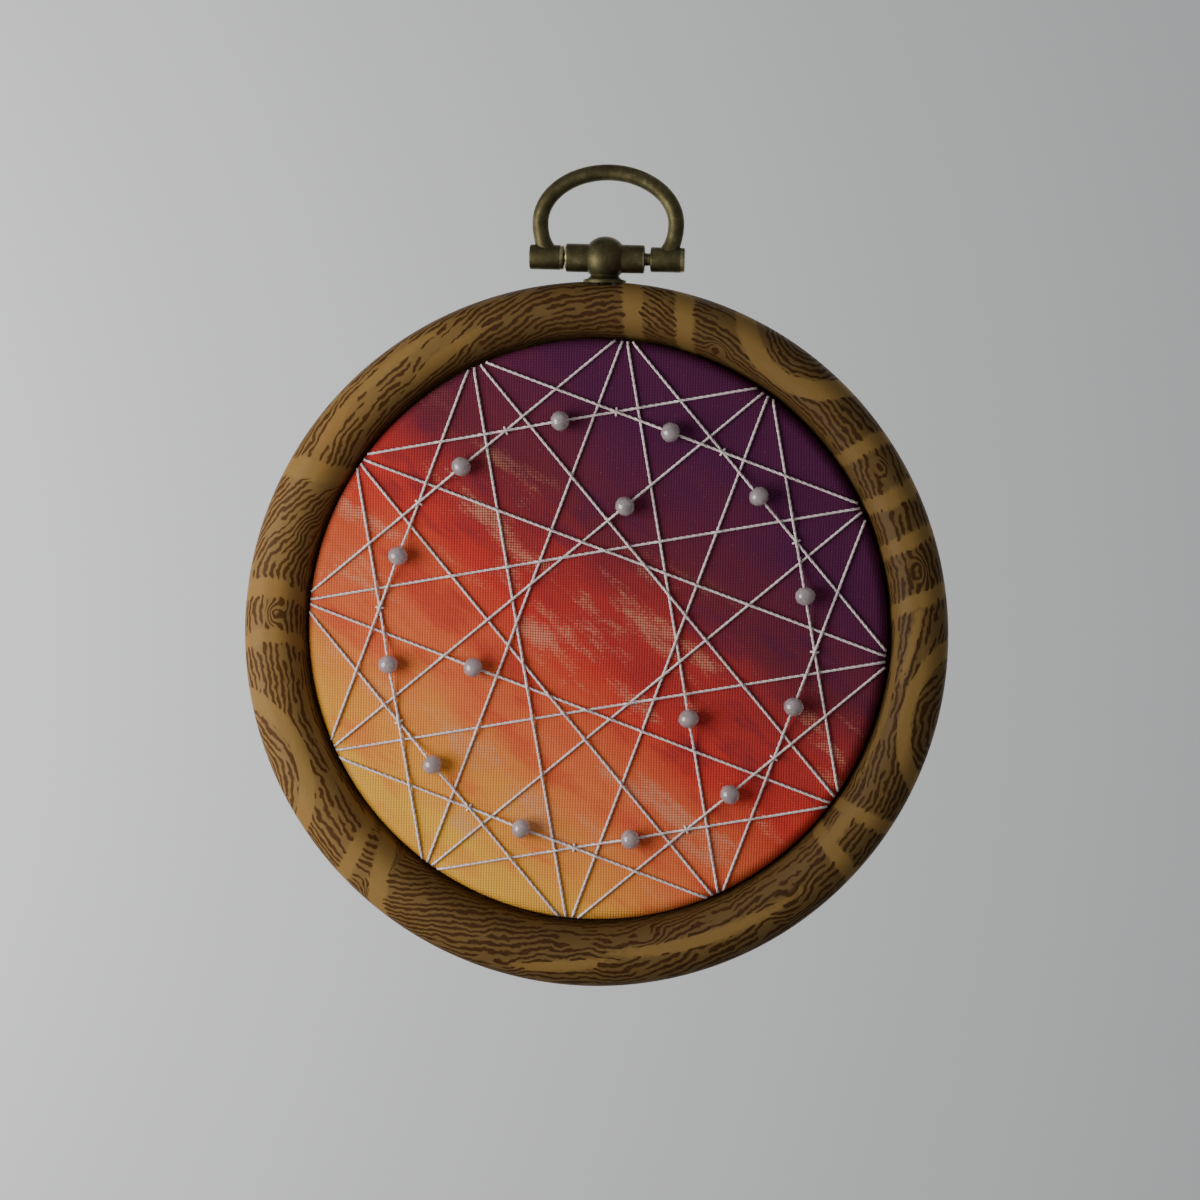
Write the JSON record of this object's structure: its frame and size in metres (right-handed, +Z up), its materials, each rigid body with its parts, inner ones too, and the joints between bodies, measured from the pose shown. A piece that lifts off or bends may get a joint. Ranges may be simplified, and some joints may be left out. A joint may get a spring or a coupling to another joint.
{
  "type": "embroidery art in a hoop",
  "caption": "Round textile picture of stitched cloth stretched in a wood-grain embroidery hoop, with a hinged metal bail at the top to hang it by.",
  "frame": {"origin": "where a nail bears on the underside of the bail's arch, at mid-depth", "axes": "+Z up, -Y out of the picture's front, +Y towards the wall, +X to the viewer's right"},
  "size_m": [0.121, 0.0105, 0.1411],
  "materials": {
    "woodgrain_vinyl": "soft vinyl printed with dark wood grain, satin",
    "inner_ring_plastic": "plain moulded plastic, satin",
    "painted_cloth": "plain-woven cotton, painted, matt",
    "thread": "twisted cotton thread",
    "glass_bead": "faceted, translucent",
    "antique_brass": "darkened, worn bright on the high places"
  },
  "bodies": {
    "bail": {"bail": "antique_brass", "hinge_pin": "antique_brass"},
    "hoop": {"outer_hoop": "woodgrain_vinyl", "inner_hoop": "inner_ring_plastic", "cloth": "painted_cloth", "hanger_post": "antique_brass"}
  },
  "joints": [
    {"name": "hanger_hinge", "type": "hinge", "parent": "bail", "child": "hoop", "pos_m": [0, 0, -0.0133], "axis": [1, 0, 0], "range_deg": [-130, 130]}
  ]
}
